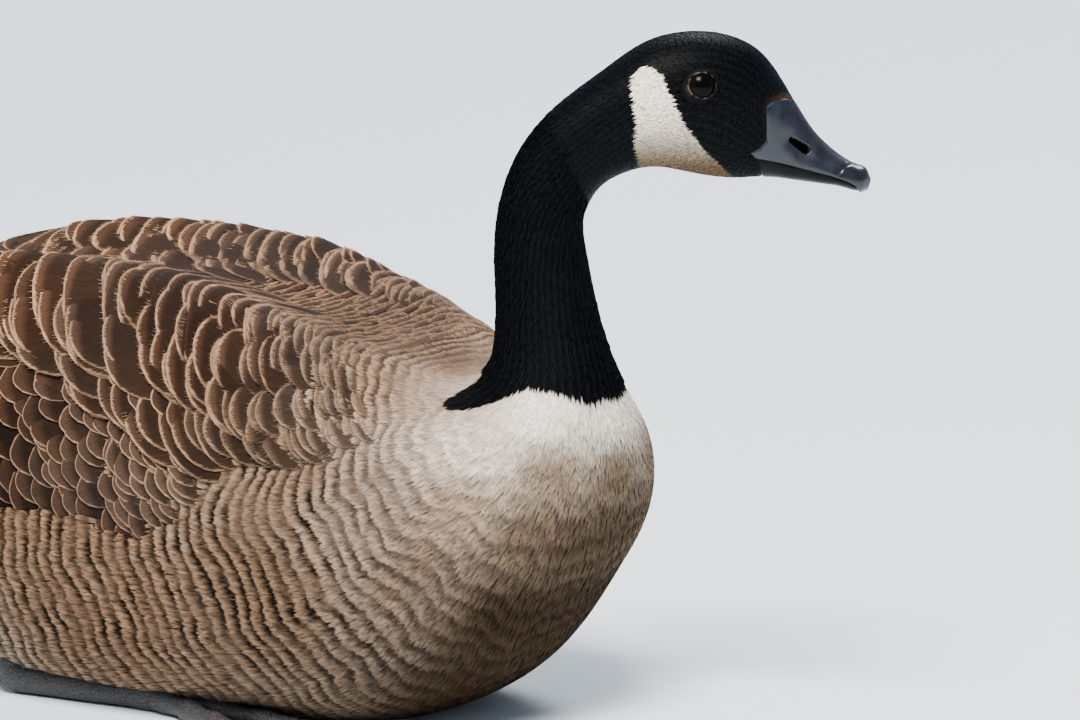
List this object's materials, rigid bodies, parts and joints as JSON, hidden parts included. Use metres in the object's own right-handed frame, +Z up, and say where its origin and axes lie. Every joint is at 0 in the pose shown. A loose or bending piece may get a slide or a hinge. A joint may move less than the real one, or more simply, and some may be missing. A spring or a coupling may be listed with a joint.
{
  "type": "canada goose",
  "caption": "Life-size Canada goose resting on its belly with its feet tucked under, wings folded, neck raised and head turned to its left.",
  "frame": {"origin": "middle of the flat of the belly, at the level of the surface that the bird rests on", "axes": "+X along the body towards the breast, +Y towards the bird's left side, +Z up"},
  "size_m": [0.6378, 0.2182, 0.3128],
  "materials": {
    "body_feathers": "matt brown body feathers with pale edges, cream on the breast and white at the vent",
    "black_feathers": "short black feathers with a white cheek patch, soft sheen",
    "wing_feathers": "dark brown feathers with pale edges",
    "tail_feathers": "black tail feathers",
    "bill": "satin black horn",
    "eye": "wet, very dark brown",
    "leg_skin": "matt black scaly skin"
  },
  "bodies": {
    "root": {"torso": "body_feathers", "neck": "black_feathers", "head": "black_feathers", "bill_upper": "bill", "bill_lower": "bill", "eye_left": "eye", "eye_right": "eye", "wing_left": "wing_feathers", "wing_right": "wing_feathers", "tail": "tail_feathers", "leg_left": "leg_skin", "leg_right": "leg_skin"}
  },
  "joints": []
}
